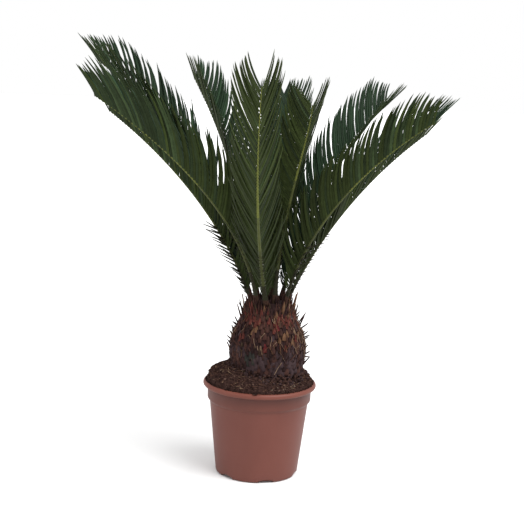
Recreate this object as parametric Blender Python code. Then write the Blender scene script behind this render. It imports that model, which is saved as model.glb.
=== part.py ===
"""A sago palm in its nursery pot, in metres with +Z up.

A stout trunk covered with old leaf bases stands in heaped soil in a tapered plastic pot.
A crown of stiff feather-like fronds rises from the trunk's flat top.
The origin is the middle of the pot's flat underside, and -Y is the front.
"""

import math
import random

import bmesh
import bpy
import numpy as np
from mathutils import Vector

# Clearance left between neighbouring pieces
GAP = 0.0003

# Pot
POT_HEIGHT = 0.196
POT_SIDES = 40
LIP_RADIUS = 0.1185
LIP_DEPTH = 0.0115
COLLAR_RADIUS = 0.1090
COLLAR_FOOT_HEIGHT = 0.160
STEP_DEPTH = 0.006
WALL_TOP_RADIUS = 0.1035
POT_FOOT_RADIUS = 0.0865
POT_FOOT_ROUNDING = 0.004
ROUNDING_BITE = 0.3
COLLAR_DRAFT = 0.0005
LIP_STEPS = 6
LIP_FLARE = 0.0050
LIP_FLARE_HEIGHT = 0.0100
LIP_INNER_ROUNDING = 0.0015
POT_WALL = 0.0025
POT_FLOOR = 0.010
NOTCH_COUNT = 6
NOTCH_WIDTH = 0.036
NOTCH_HEIGHT = 0.005
NOTCH_DEPTH = 0.014
NOTCH_BEARING = 224
NOTCH_STEPS = 6

# Soil
SOIL_EDGE_HEIGHT = 0.2015
SOIL_BANK = 0.0045
SOIL_TOP_HEIGHT = 0.224
SOIL_TILT = 0.008
SOIL_RIPPLE = 0.0014
SOIL_WAVES = 5
SOIL_WAVE_LENGTH = 0.025
SOIL_ROUNDNESS = 0.8
SOIL_HEAP_ROUNDNESS = 0.2
SOIL_RING_SHARES = (0.0, 0.25, 0.6, 1.0)
SOIL_HEAP_BEARING = 165
SOIL_SIDES = 48
POCKET_FLOOR = 0.2047

# Trunk: its axis, and its radius at a few heights
TRUNK_X = 0.0135
TRUNK_FOOT = 0.2050
TRUNK_TOP = 0.3620
SWELL_FOOT = 0.2370
TRUNK_PROFILE = (
    (TRUNK_FOOT, 0.0745),
    (SWELL_FOOT, 0.0745),
    (0.2430, 0.0765),
    (0.2520, 0.0776),
    (0.2750, 0.0768),
    (0.3030, 0.0710),
    (0.3310, 0.0570),
    (0.3440, 0.0525),
    (TRUNK_TOP, 0.0500),
)
TRUNK_SIDES = 36
TRUNK_RINGS = 14
LEAF_BASES_ROUND = 14
LEAF_BASE_ROW = 0.0165
LEAF_BASE_RELIEF = 0.0030
RELIEF_FADE = 0.012

# Scales round the trunk's neck, and stubs of old stalks lower down
SCALE_THICKNESS = 0.0055
STEM_SCALE = {"height": 0.338, "radius": 0.0495, "length": 0.030, "width": 0.019, "flare": 6}
NECK_SCALE = {"height": 0.338, "radius": 0.0470, "length": 0.044, "width": 0.015, "flare": 8}
LOWER_SCALE = {"height": 0.318, "radius": 0.0570, "length": 0.033, "width": 0.015, "flare": -3}
BIG_SCALE = {"height": 0.336, "radius": 0.0500, "length": 0.055, "width": 0.020, "flare": 9}
SPINE = {"length": 0.028, "width": 0.0048, "flare": 45}
LOWER_SCALE_COUNT = 15
BIG_SCALE_BEARING = 350
WIDE_GAP = 34
SPINE_COUNT = 24
SPINE_LOWEST = 0.240
SPINE_ZONE = 0.092
SPINE_SUNK = 0.004
SPINE_LENGTH_SPREAD = 0.25
SPINE_FLARE_SPREAD = 14
SIDE_SPINES = (
    (352, 0.334),
    (8, 0.322),
    (355, 0.296),
    (3, 0.270),
    (187, 0.332),
    (172, 0.294),
    (184, 0.266),
)
GOLDEN = 0.618

# Fronds: name, bearing of the foot, swing of the bearing towards the tip, lean from upright
# at the foot and at the tip (degrees), how late the lean sets in (1 is evenly), turn of the blade
# about its rib (degrees), length of the rib, length of its longest leaflets, distance of the foot
# from the trunk's axis
FRONDS = (
    ("frond_front", 260.3, 12.8, 44.8, 38.9, 1.24, 8.5, 0.606, 0.128, 0.036),
    ("frond_front_right_inner", 300.2, -32.2, 0.9, 71.9, 1.04, 12.4, 0.551, 0.109, 0.022),
    ("frond_right_front", 331.3, -17.2, 4.5, 61.0, 0.60, -3.4, 0.528, 0.128, 0.038),
    ("frond_left_front", 227.5, -66.9, 10.5, 60.3, 0.66, 11.9, 0.560, 0.149, 0.037),
    ("frond_left", 189.3, -49.2, 18.0, 65.0, 0.94, 19.2, 0.528, 0.156, 0.038),
    ("frond_left_back", 159.2, -2.4, 19.0, 57.1, 0.98, -0.5, 0.630, 0.136, 0.037),
    ("frond_back_left", 130.6, -0.6, 13.7, 44.2, 1.05, 13.5, 0.524, 0.117, 0.036),
    ("frond_right_back", 49.2, 2.7, 18.5, 64.0, 0.98, 6.0, 0.565, 0.127, 0.036),
    ("frond_back_inner", 69.4, 25.2, 2.0, 59.9, 0.95, 3.0, 0.503, 0.130, 0.018),
    ("frond_back", 93.4, -9.4, 19.9, 54.0, 1.06, -3.5, 0.520, 0.120, 0.036),
    ("frond_right", 12.0, 23.0, 23.0, 61.0, 1.00, 0.0, 0.485, 0.112, 0.036),
)
RIB_WIDTH_AT_FOOT = 0.0098
RIB_WIDTH_AT_TIP = 0.0026
RIB_DEPTH_AT_FOOT = 0.0080
RIB_DEPTH_AT_TIP = 0.0020
RIB_TAPER = 0.8
TURN_SHARE = 0.3
OUTER_FOOT_RADIUS = 0.03
LEAFLET_PAIRS = 24
BARE_STEM = 0.040
LEAFLET_FULL_FROM = 0.115
LEAFLET_TIP_SHARE = 0.55
LEAFLET_FALL_FROM = 0.82
THORN_SHARE = 0.12
LEAFLET_WIDTH = 0.0112
LEAFLET_THICKNESS = 0.0015
LEAFLET_ROOT_SHARE = 0.52
LEAFLET_ROOT_START = 0.15
LEAFLET_FORWARD = 40
LEAFLET_FORWARD_AT_TIP = 37
LEAFLET_RAISED = 49
LEAFLET_CURL = 14
LEAFLET_CLEARANCE = 0.0125
LEAFLET_TRIES = (1.0, 0.85, 0.7, 0.55, 0.4)
SHORTEST_LEAFLET = 0.012
LEAFLET_ROOM_SHARE = 0.78
LEAFLET_WIDEST_SHARE = 0.22

COLOURS = {
    "plastic": ((0.42, 0.13, 0.075, 1), 0.5),
    "soil": ((0.055, 0.032, 0.022, 1), 0.95),
    "bark": ((0.11, 0.055, 0.035, 1), 0.85),
    "foliage": ((0.030, 0.075, 0.022, 1), 0.5),
}


def clear_scene():
    for item in list(bpy.data.objects):
        bpy.data.objects.remove(item, do_unlink=True)


def material(name):
    colour, roughness = COLOURS[name]
    made = bpy.data.materials.new(name)
    made.use_nodes = True
    shader = made.node_tree.nodes["Principled BSDF"]
    shader.inputs["Base Color"].default_value = colour
    shader.inputs["Roughness"].default_value = roughness
    shader.inputs["Metallic"].default_value = 0.0
    return made


def add_object(name, mesh_data, finish=None):
    """Turns a bmesh into a linked object with outward faces."""
    bmesh.ops.recalc_face_normals(mesh_data, faces=mesh_data.faces)
    mesh = bpy.data.meshes.new(name)
    mesh_data.to_mesh(mesh)
    mesh_data.free()
    item = bpy.data.objects.new(name, mesh)
    bpy.context.collection.objects.link(item)
    if finish:
        mesh.materials.append(finish)
    return item


def smooth_step(value):
    value = min(max(value, 0.0), 1.0)
    return value * value * (3 - 2 * value)


def bridge_rings(mesh_data, rings):
    """Joins each closed ring of vertices to the next."""
    for lower, upper in zip(rings, rings[1:]):
        count = len(lower)
        for i in range(count):
            j = (i + 1) % count
            mesh_data.faces.new((lower[i], lower[j], upper[j], upper[i]))


def cap_ring(mesh_data, ring, centre):
    """Closes a ring with a fan of triangles round one point."""
    hub = mesh_data.verts.new(centre)
    for i, vertex in enumerate(ring):
        mesh_data.faces.new((vertex, ring[(i + 1) % len(ring)], hub))


def pot_inner_radius(height):
    """Radius of the pot's inner wall, a wall's thickness inside the outer one and flared at the lip."""
    if height >= COLLAR_FOOT_HEIGHT:
        flare = (height - POT_HEIGHT + LIP_FLARE_HEIGHT) / (LIP_FLARE_HEIGHT - LIP_INNER_ROUNDING)
        return COLLAR_RADIUS - POT_WALL + LIP_FLARE * min(max(flare, 0.0), 1.0)
    share = height / (COLLAR_FOOT_HEIGHT - STEP_DEPTH)
    outer = POT_FOOT_RADIUS + (WALL_TOP_RADIUS - POT_FOOT_RADIUS) * min(share, 1.0)
    return outer - POT_WALL


def inner_heights():
    """Heights at which the pot's inner wall changes slope, from the lip down to the floor."""
    lip = (POT_HEIGHT - LIP_INNER_ROUNDING, POT_HEIGHT - LIP_FLARE_HEIGHT)
    return lip + (COLLAR_FOOT_HEIGHT, COLLAR_FOOT_HEIGHT - STEP_DEPTH, POT_FLOOR)


def pot_profile():
    """Outline of the pot's wall from the middle of its underside, up the outside and down the inside."""
    points = [(POT_FOOT_RADIUS - POT_FOOT_ROUNDING, 0.0)]
    bite = POT_FOOT_ROUNDING * ROUNDING_BITE
    points.append((POT_FOOT_RADIUS - bite, bite))
    points.append((POT_FOOT_RADIUS, POT_FOOT_ROUNDING))
    points.append((WALL_TOP_RADIUS, COLLAR_FOOT_HEIGHT - STEP_DEPTH))
    points.append((COLLAR_RADIUS - COLLAR_DRAFT, COLLAR_FOOT_HEIGHT))
    points.append((COLLAR_RADIUS, POT_HEIGHT - LIP_DEPTH))
    lip_half = LIP_DEPTH / 2
    lip_middle = POT_HEIGHT - lip_half
    lip_reach = LIP_RADIUS - lip_half
    for step in range(LIP_STEPS + 1):
        angle = math.pi * (step / LIP_STEPS - 0.5)
        points.append((lip_reach + lip_half * math.cos(angle), lip_middle + lip_half * math.sin(angle)))
    for height in inner_heights():
        points.append((pot_inner_radius(height), height))
    return points


def turned_ring(mesh_data, radius, height, sides, middle_x=0.0):
    ring = []
    for i in range(sides):
        angle = 2 * math.pi * i / sides
        across, along = radius * math.cos(angle), radius * math.sin(angle)
        ring.append(mesh_data.verts.new((middle_x + across, along, height)))
    return ring


def notch_cutter(index):
    """An arch that is pushed into the pot's foot from outside."""
    outline = bmesh.new()
    arch = [(NOTCH_WIDTH / 2, -NOTCH_HEIGHT)]
    for step in range(1, NOTCH_STEPS):
        angle = math.pi * step / NOTCH_STEPS
        arch.append((math.cos(angle) * NOTCH_WIDTH / 2, math.sin(angle) * NOTCH_HEIGHT))
    arch.append((-NOTCH_WIDTH / 2, -NOTCH_HEIGHT))
    bearing = math.radians(NOTCH_BEARING + 360 / NOTCH_COUNT * index)
    outward = Vector((math.cos(bearing), math.sin(bearing), 0))
    sideways = Vector((-math.sin(bearing), math.cos(bearing), 0))
    near, far = POT_FOOT_RADIUS - NOTCH_DEPTH, POT_FOOT_RADIUS + NOTCH_DEPTH
    rings = []
    for reach in (near, far):
        rings.append([outline.verts.new(outward * reach + sideways * a + Vector((0, 0, up)))
                      for a, up in arch])
    bridge_rings(outline, rings)
    outline.faces.new(rings[0])
    outline.faces.new(rings[1])
    return add_object("notch_cutter_%d" % index, outline)


def build_pot(finish):
    body = bmesh.new()
    rings = [turned_ring(body, radius, height, POT_SIDES) for radius, height in pot_profile()]
    bridge_rings(body, rings)
    cap_ring(body, rings[0], (0, 0, 0))
    cap_ring(body, rings[-1], (0, 0, POT_FLOOR))
    pot = add_object("pot", body, finish)
    cutters = bpy.data.collections.new("notch_cutters")
    bpy.context.scene.collection.children.link(cutters)
    for index in range(NOTCH_COUNT):
        move_to_collection(notch_cutter(index), cutters)
    apply_boolean(pot, cutters, "DIFFERENCE")
    pot.data.shade_smooth()
    pot.data.set_sharp_from_angle(angle=math.radians(35))
    return pot


def move_to_collection(item, collection):
    for holder in list(item.users_collection):
        holder.objects.unlink(item)
    collection.objects.link(item)


def apply_boolean(item, collection, operation):
    """Joins or cuts an object by everything in a collection, then removes the collection's objects."""
    step = item.modifiers.new("join", "BOOLEAN")
    step.operand_type = "COLLECTION"
    step.collection = collection
    step.operation = operation
    step.solver = "EXACT"
    bpy.context.view_layer.update()
    graph = bpy.context.evaluated_depsgraph_get()
    joined = bpy.data.meshes.new_from_object(item.evaluated_get(graph))
    item.modifiers.remove(step)
    old = item.data
    item.data = joined
    bpy.data.meshes.remove(old)
    joined.name = item.name
    for piece in list(collection.objects):
        bpy.data.objects.remove(piece, do_unlink=True)
    bpy.data.collections.remove(collection)


def soil_height(radius, bearing):
    """Height of the heaped soil, which is higher and rounder towards the back left."""
    inner, outer = TRUNK_PROFILE[0][1], pot_inner_radius(POT_HEIGHT) - SOIL_BANK
    share = min(max((outer - radius) / (outer - inner), 0.0), 1.0)
    towards_heap = math.cos(bearing - math.radians(SOIL_HEAP_BEARING))
    edge = SOIL_EDGE_HEIGHT + SOIL_TILT * max(towards_heap, 0.0)
    top = SOIL_TOP_HEIGHT + SOIL_TILT * towards_heap
    ripple = SOIL_RIPPLE * math.sin(SOIL_WAVES * bearing + radius / SOIL_WAVE_LENGTH) * share
    return edge + (top - edge) * share ** (SOIL_ROUNDNESS - SOIL_HEAP_ROUNDNESS * towards_heap) + ripple


def build_soil(finish):
    body = bmesh.new()
    rings = []
    for height in reversed(inner_heights()):
        radius = pot_inner_radius(height) - GAP * 2
        rings.append(turned_ring(body, radius, max(height, POT_FLOOR + GAP), SOIL_SIDES))
    wall = pot_inner_radius(POT_HEIGHT) - SOIL_BANK
    pocket = TRUNK_PROFILE[0][1] + GAP * 2
    for share in SOIL_RING_SHARES:
        ring = []
        for i in range(SOIL_SIDES):
            bearing = 2 * math.pi * i / SOIL_SIDES
            rim = Vector((wall * math.cos(bearing), wall * math.sin(bearing), 0))
            foot = Vector((TRUNK_X + pocket * math.cos(bearing), pocket * math.sin(bearing), 0))
            place = rim.lerp(foot, share)
            place.z = soil_height(wall + (pocket - wall) * share, bearing)
            ring.append(body.verts.new(place))
        rings.append(ring)
    rings.append(turned_ring(body, pocket, POCKET_FLOOR, SOIL_SIDES, TRUNK_X))
    bridge_rings(body, rings)
    cap_ring(body, rings[0], (0, 0, POT_FLOOR + GAP))
    cap_ring(body, rings[-1], (TRUNK_X, 0, POCKET_FLOOR))
    return add_object("soil", body, finish)


def trunk_radius(height):
    """Radius of the trunk between the heights of its profile, on a smooth curve."""
    heights = [h for h, _ in TRUNK_PROFILE]
    radii = [r for _, r in TRUNK_PROFILE]
    return float(np.interp(height, heights, radii))


def leaf_base_relief(height, turn):
    """Staggered rows of lumps, one for each old leaf base, which fade out at the trunk's two ends."""
    row = (height - SWELL_FOOT) / LEAF_BASE_ROW
    wave = math.cos(2 * math.pi * (turn * LEAF_BASES_ROUND / 2)) * math.cos(math.pi * row)
    fade = smooth_step(min(height - SWELL_FOOT, TRUNK_TOP - height) / RELIEF_FADE)
    return LEAF_BASE_RELIEF * wave * fade


def leaning_scale(bearing, size, height=None, radius=None):
    """A pointed scale or stub that stands up from the trunk, its foot sunk into it."""
    body = bmesh.new()
    flare = math.radians(size["flare"])
    outward = Vector((math.cos(bearing), math.sin(bearing), 0))
    sideways = Vector((-math.sin(bearing), math.cos(bearing), 0))
    rise = Vector((0, 0, 1)) * math.cos(flare) + outward * math.sin(flare)
    face = sideways.cross(rise).normalized()
    foot = Vector((TRUNK_X, 0, height or size["height"])) + outward * (radius or size["radius"])
    rings = []
    for share, spread in ((0.0, 0.8), (0.45, 1.0)):
        middle = foot + rise * size["length"] * share
        half_width = size["width"] * spread / 2
        half_thickness = min(SCALE_THICKNESS, size["width"]) / 2
        corners = ((-1, 0), (0, -1), (1, 0), (0, 1))
        rings.append([body.verts.new(middle + sideways * a * half_width + face * b * half_thickness)
                      for a, b in corners])
    bridge_rings(body, rings)
    body.faces.new(rings[0])
    cap_ring(body, rings[-1], foot + rise * size["length"])
    return add_object("growth", body)


def trunk_scales():
    """Upright scales round the neck, before and between the stems, over a lower ring of short ones."""
    made = []
    bearings = sorted(row[1] % 360 for row in FRONDS if row[-1] > OUTER_FOOT_RADIUS)
    for bearing, following in zip(bearings, bearings[1:] + [bearings[0] + 360]):
        width = following - bearing
        for share in ((0.5,) if width < WIDE_GAP else (0.34, 0.66)):
            made.append(leaning_scale(math.radians(bearing + width * share), NECK_SCALE))
        made.append(leaning_scale(math.radians(bearing), STEM_SCALE))
    for i in range(LOWER_SCALE_COUNT):
        made.append(leaning_scale(2 * math.pi * (i + 0.3) / LOWER_SCALE_COUNT, LOWER_SCALE))
    made.append(leaning_scale(math.radians(BIG_SCALE_BEARING), BIG_SCALE))
    return made


def trunk_spines():
    """Stubs of old leaf stalks all round the trunk, and a few that show at its left and right edges."""
    chooser = random.Random(7)
    places = [(360 * (i * GOLDEN % 1.0), SPINE_LOWEST + SPINE_ZONE * (i * GOLDEN ** 2 % 1.0))
              for i in range(SPINE_COUNT)]
    made = []
    for bearing, height in places + list(SIDE_SPINES):
        size = dict(SPINE)
        size["length"] *= chooser.uniform(1 - SPINE_LENGTH_SPREAD, 1 + SPINE_LENGTH_SPREAD)
        size["flare"] += chooser.uniform(-SPINE_FLARE_SPREAD, SPINE_FLARE_SPREAD)
        radius = trunk_radius(height) - SPINE_SUNK
        made.append(leaning_scale(math.radians(bearing), size, height, radius))
    return made


def build_trunk(finish):
    body = bmesh.new()
    rise = TRUNK_TOP - SWELL_FOOT
    heights = [TRUNK_FOOT] + [SWELL_FOOT + rise * i / TRUNK_RINGS for i in range(TRUNK_RINGS + 1)]
    rings = []
    for height in heights:
        ring = []
        for i in range(TRUNK_SIDES):
            turn = i / TRUNK_SIDES
            bearing = 2 * math.pi * turn
            radius = trunk_radius(height) + leaf_base_relief(height, turn)
            across, along = radius * math.cos(bearing), radius * math.sin(bearing)
            ring.append(body.verts.new((TRUNK_X + across, along, height)))
        rings.append(ring)
    bridge_rings(body, rings)
    cap_ring(body, rings[0], (TRUNK_X, 0, TRUNK_FOOT))
    cap_ring(body, rings[-1], (TRUNK_X, 0, TRUNK_TOP))
    trunk = add_object("trunk", body, finish)
    growth = bpy.data.collections.new("trunk_growth")
    bpy.context.scene.collection.children.link(growth)
    for piece in trunk_scales() + trunk_spines():
        move_to_collection(piece, growth)
    apply_boolean(trunk, growth, "UNION")
    return trunk


class Rib:
    """The curved midline of a frond, with its own tangent, upper side and left-right direction."""

    STEPS = 240

    def __init__(self, bearing, swing, foot_lean, tip_lean, bend, turn, length, leaflet, foot_radius):
        self.length = length
        self.leaflet = leaflet
        self.turn = math.radians(turn)
        shares = (np.arange(self.STEPS) + 0.5) / self.STEPS
        leans = np.radians(foot_lean + (tip_lean - foot_lean) * shares ** bend)
        bearings = np.radians(bearing + swing * shares)
        outward = np.stack([np.cos(bearings), np.sin(bearings), np.zeros(self.STEPS)], axis=1)
        upward = np.array([0.0, 0.0, 1.0])
        tangents = outward * np.sin(leans)[:, None] + upward * np.cos(leans)[:, None]
        foot_bearing = math.radians(bearing)
        foot = np.array([TRUNK_X + foot_radius * math.cos(foot_bearing),
                         foot_radius * math.sin(foot_bearing), TRUNK_TOP + GAP])
        self.points = np.vstack([foot, foot + np.cumsum(tangents * length / self.STEPS, axis=0)])
        self.outward = Vector(outward[0])
        self.tangents = tangents
        self.uppers = upward * np.sin(leans)[:, None] - outward * np.cos(leans)[:, None]

    def frame(self, distance):
        """Point, tangent, upper side and sideways direction at a distance along the rib."""
        place = min(max(distance / self.length, 0.0), 1.0) * self.STEPS
        low = min(int(place), self.STEPS - 1)
        point = Vector(self.points[low]).lerp(Vector(self.points[low + 1]), place - low)
        tangent = Vector(self.tangents[low]).normalized()
        upper = Vector(self.uppers[low])
        upper = (upper - tangent * upper.dot(tangent)).normalized()
        share = smooth_step(distance / self.length / TURN_SHARE)
        upper = upper * math.cos(self.turn * share) + tangent.cross(upper) * math.sin(self.turn * share)
        return point, tangent, upper, tangent.cross(upper)

    def samples(self):
        return self.points[::2]


def rib_size(share):
    taper = share ** RIB_TAPER
    width = RIB_WIDTH_AT_FOOT + (RIB_WIDTH_AT_TIP - RIB_WIDTH_AT_FOOT) * taper
    depth = RIB_DEPTH_AT_FOOT + (RIB_DEPTH_AT_TIP - RIB_DEPTH_AT_FOOT) * taper
    return width, depth


def rib_ring(mesh_data, rib, distance):
    """Four corners of the rib's section, the first two on one side and the others opposite."""
    point, tangent, upper, sideways = rib.frame(distance)
    width, depth = rib_size(distance / rib.length)
    if distance == 0.0:
        upper = -rib.outward
        sideways = Vector((0, 0, 1)).cross(upper)
    corners = ((1, 1), (1, -1), (-1, -1), (-1, 1))
    return [mesh_data.verts.new(point + sideways * a * width / 2 + upper * b * depth / 2)
            for a, b in corners]


def leaflet_length(rib, distance):
    """Thorn-like at the foot, full along the middle and shorter towards the tip."""
    share = distance / rib.length
    grown = smooth_step((distance - BARE_STEM) / (LEAFLET_FULL_FROM - BARE_STEM))
    growth = THORN_SHARE + (1 - THORN_SHARE) * grown
    fallen = smooth_step((share - LEAFLET_FALL_FROM) / (1 - LEAFLET_FALL_FROM))
    fall = 1 - (1 - LEAFLET_TIP_SHARE) * fallen
    return rib.leaflet * growth * fall


def leaflet_forward(rib, distance):
    """Angle between a leaflet and the rib, which closes towards the tip."""
    change = LEAFLET_FORWARD_AT_TIP - LEAFLET_FORWARD
    return math.radians(LEAFLET_FORWARD + change * (distance / rib.length) ** 2)


def leaflet_line(rib, distance, side, length):
    """Root, middle and tip of a leaflet, and the frame of its blade."""
    point, tangent, upper, sideways = rib.frame(distance)
    forward = leaflet_forward(rib, distance)
    raised = math.radians(LEAFLET_RAISED)
    across = sideways * side * math.cos(raised) + upper * math.sin(raised)
    curl = math.radians(LEAFLET_CURL)
    start = tangent * math.cos(forward) + across * math.sin(forward)
    finish = tangent * math.cos(forward - curl) + across * math.sin(forward - curl)
    width, _ = rib_size(distance / rib.length)
    root = point + sideways * side * width / 2
    middle = root + start * length * 0.5
    tip = middle + finish * length * 0.5
    along = (tangent - start * tangent.dot(start)).normalized()
    thick = (across.cross(tangent) * side).normalized()
    return root, middle, tip, along, thick


def leaflet_samples(line):
    root, middle, tip = (np.array(corner) for corner in line[:3])
    shares = np.linspace(0.12, 1.0, 8)[:, None]
    return np.vstack([root + (middle - root) * shares, middle + (tip - middle) * shares])


def clears(points, rivals):
    """True where every point keeps the clearance to all the rivals' points."""
    if not rivals:
        return True
    others = np.vstack(rivals)
    low, high = points.min(axis=0) - LEAFLET_CLEARANCE, points.max(axis=0) + LEAFLET_CLEARANCE
    near = others[np.all((others > low) & (others < high), axis=1)]
    if not len(near):
        return True
    gaps = np.linalg.norm(points[:, None, :] - near[None, :, :], axis=2)
    return gaps.min() > LEAFLET_CLEARANCE


def add_leaflet(mesh_data, lower, upper, side, line, width):
    """Grows a blade out of the rib between two of its rings, in place of the rib's side face."""
    root, middle, tip, along, thick = line
    first, second = (0, 1) if side > 0 else (3, 2)
    base = (lower[first], lower[second], upper[second], upper[first])
    places = ((-1, 1), (-1, -1), (1, -1), (1, 1))
    waist = [mesh_data.verts.new(middle + along * a * width / 2 + thick * b * LEAFLET_THICKNESS / 2)
             for a, b in places]
    bridge_rings(mesh_data, (base, waist))
    cap_ring(mesh_data, waist, tip)


def build_frond(name, rib, rivals, finish):
    """One frond: a tapering rib whose two sides carry a comb of blades. Returns what it occupies."""
    body = bmesh.new()
    pitch = (rib.length - BARE_STEM) / LEAFLET_PAIRS
    distances = [0.0, BARE_STEM * 0.5]
    for pair in range(LEAFLET_PAIRS):
        root = BARE_STEM + pitch * (pair + LEAFLET_ROOT_START)
        distances += [root, root + pitch * LEAFLET_ROOT_SHARE]
    distances.append(rib.length)
    rings = [rib_ring(body, rib, distance) for distance in distances]
    occupied = []
    for index, (lower, upper) in enumerate(zip(rings, rings[1:])):
        carries = index >= 2 and index % 2 == 0 and index < len(rings) - 2
        for corner, side in ((0, 1), (1, 0), (2, -1), (3, 0)):
            line = None
            if carries and side:
                line, width = choose_leaflet(rib, distances[index], pitch, side, rivals)
            if line:
                add_leaflet(body, lower, upper, side, line, width)
                occupied.append(leaflet_samples(line))
            else:
                following = (corner + 1) % 4
                body.faces.new((lower[corner], lower[following], upper[following], upper[corner]))
    body.faces.new(rings[0])
    body.faces.new(rings[-1])
    bmesh.ops.triangulate(body, faces=body.faces)
    add_object(name, body, finish)
    return occupied


def choose_leaflet(rib, distance, pitch, side, rivals):
    """The longest leaflet that stays clear of the other fronds, or none."""
    middle = distance + pitch * LEAFLET_ROOT_SHARE / 2
    full = leaflet_length(rib, middle)
    room = pitch * math.sin(leaflet_forward(rib, middle))
    width = min(LEAFLET_WIDTH, room * LEAFLET_ROOM_SHARE, full * LEAFLET_WIDEST_SHARE)
    for portion in LEAFLET_TRIES:
        length = full * portion
        if length < SHORTEST_LEAFLET:
            break
        line = leaflet_line(rib, middle, side, length)
        if clears(leaflet_samples(line), rivals):
            return line, width
    return None, 0.0


def build_crown(finish):
    ribs = {row[0]: Rib(*row[1:]) for row in FRONDS}
    space = {name: [rib.samples()] for name, rib in ribs.items()}
    for name, rib in ribs.items():
        rivals = [points for other, held in space.items() if other != name for points in held]
        space[name] += build_frond(name, rib, rivals, finish)


def main():
    clear_scene()
    build_pot(material("plastic"))
    build_soil(material("soil"))
    build_trunk(material("bark"))
    build_crown(material("foliage"))


main()
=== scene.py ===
"""The looks of the sago palm in its nursery pot, in metres with +Z up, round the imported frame.

Every frond, the trunk, the soil and the pot are made again here at a finer scale, in the place of
their solids and by the same rules. -Y is the front, the side that the photo was taken from.
"""

import math
import random

import bmesh
import bpy
import numpy as np
from mathutils import Matrix, Vector, noise
from mathutils.kdtree import KDTree


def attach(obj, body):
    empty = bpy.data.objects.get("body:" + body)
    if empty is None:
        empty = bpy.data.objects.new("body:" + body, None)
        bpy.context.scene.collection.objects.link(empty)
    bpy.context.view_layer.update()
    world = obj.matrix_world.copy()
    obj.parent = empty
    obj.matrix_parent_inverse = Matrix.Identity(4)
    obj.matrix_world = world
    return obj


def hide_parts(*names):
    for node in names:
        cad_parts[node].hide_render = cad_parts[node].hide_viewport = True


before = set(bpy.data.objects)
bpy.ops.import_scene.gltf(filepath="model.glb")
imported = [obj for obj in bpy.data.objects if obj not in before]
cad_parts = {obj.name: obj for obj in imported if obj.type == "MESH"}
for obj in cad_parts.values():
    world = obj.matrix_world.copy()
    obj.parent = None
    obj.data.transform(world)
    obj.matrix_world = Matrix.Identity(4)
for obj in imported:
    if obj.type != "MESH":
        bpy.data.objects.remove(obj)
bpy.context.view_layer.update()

# Stage, with the camera worked out from the ellipses of the pot's lip and foot
CAMERA_PLACE = (-0.005, -2.38, 0.833)
CAMERA_DOWN = 9.2
CAMERA_ROLL = 2.3
CAMERA_LENS = 1165 / 524 * 36
FLOOR_RADIUS = 30
FLOOR_SIDES = 96

# Pot
POT_HEIGHT = 0.196
POT_SIDES = 180
FOOT_ROUND = 0.004
LIP_RADIUS = 0.1185
LIP_DEPTH = 0.0115
COLLAR_RADIUS = 0.1090
COLLAR_FOOT = 0.160
STEP_DEPTH = 0.006
WALL_TOP_RADIUS = 0.1035
FOOT_RADIUS = 0.0865
POT_WALL = 0.0025
POT_FLOOR = 0.010
LIP_FLARE = 0.0050
LIP_FLARE_HEIGHT = 0.0100
LIP_EDGE = 0.0015
NOTCH_COUNT = 6
NOTCH_WIDTH = 0.036
NOTCH_HEIGHT = 0.005
NOTCH_DEPTH = 0.014
NOTCH_BEARING = 224
# Bands of the plastic's tone, with painted light: the darker collar is a painted shadow of the lip, the
# darkest band a painted shade line just under the lip, and the lighter top band a painted highlight on the
# lip; share of the pot's height, factor on red, green and blue
PLASTIC_PAINTED_LIGHT_BANDS = (
    (0.0, (0.79, 0.71, 0.66)),
    (0.76, (0.77, 0.66, 0.61)),
    (0.79, (0.71, 0.61, 0.55)),
    (0.935, (0.48, 0.40, 0.37)),
    (0.955, (0.86, 0.71, 0.60)),
)

# Soil
SOIL_EDGE = 0.2015
SOIL_BANK = 0.0045
SOIL_TOP = 0.224
SOIL_TILT = 0.008
SOIL_HEAP_BEARING = 165
SOIL_ROUNDNESS = 0.8
SOIL_HEAP_ROUNDNESS = 0.2
SOIL_SKIRT = 0.150
SOIL_GAP = 0.0008
SKIRT_GAP = 0.001
SOIL_UNDER_TRUNK = 0.006
BANK_SHARE = 0.12
SOIL_SIDES = 220
SOIL_STEPS = 34
CRUMB_COUNT = 3600
SPILT_COUNT = 700
HANGING_COUNT = 60
HANGING_BEARING = 266
HEAP_COUNT = 420
HEAP_WIDTH = 0.016
HEAP_RISE = 0.0075
LITTER_COUNT = 420
GRAIN_COUNT = 15
GRAINS_IN_FRONT = 6
# Tones of the clods: dark, light, scale of the pattern, height of the bump
SOIL_TONES = {
    "soil_dark": ((0.010, 0.005, 0.004), (0.024, 0.012, 0.010), 300, 0.0003),
    "soil_mid": ((0.030, 0.015, 0.012), (0.055, 0.029, 0.023), 300, 0.0003),
    "soil_light": ((0.070, 0.040, 0.030), (0.100, 0.062, 0.048), 300, 0.0003),
    "soil_clod": ((0.022, 0.013, 0.013), (0.048, 0.030, 0.030), 260, 0.0005),
}

# Trunk, with the radius at each height
TRUNK_X = 0.0135
TRUNK_FOOT = 0.235
TRUNK_TOP = 0.3620
TRUNK_PROFILE = (
    (0.2150, 0.0740),
    (0.2370, 0.0745),
    (0.2430, 0.0765),
    (0.2520, 0.0776),
    (0.2750, 0.0768),
    (0.3030, 0.0710),
    (0.3310, 0.0570),
    (0.3440, 0.0525),
    (0.3560, 0.0500),
    (TRUNK_TOP, 0.0440),
    (0.3660, 0.0300),
    (0.3670, 0.0),
)
TRUNK_SIDES = 144
TRUNK_STEPS = 80
SCALE_COUNT = 480
SCALES_FROM = 0.222
SCALES_TO = 0.350
GOLDEN_TURN = 137.508
ROUND_SPINES = 60
SPINE_RADIUS = 0.0021
SPINE_GROWTH = 1.12
SPINE_SUNK = 0.004
HAIR_COUNT = 1500
LOOSE_FIBRES = 110

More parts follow.
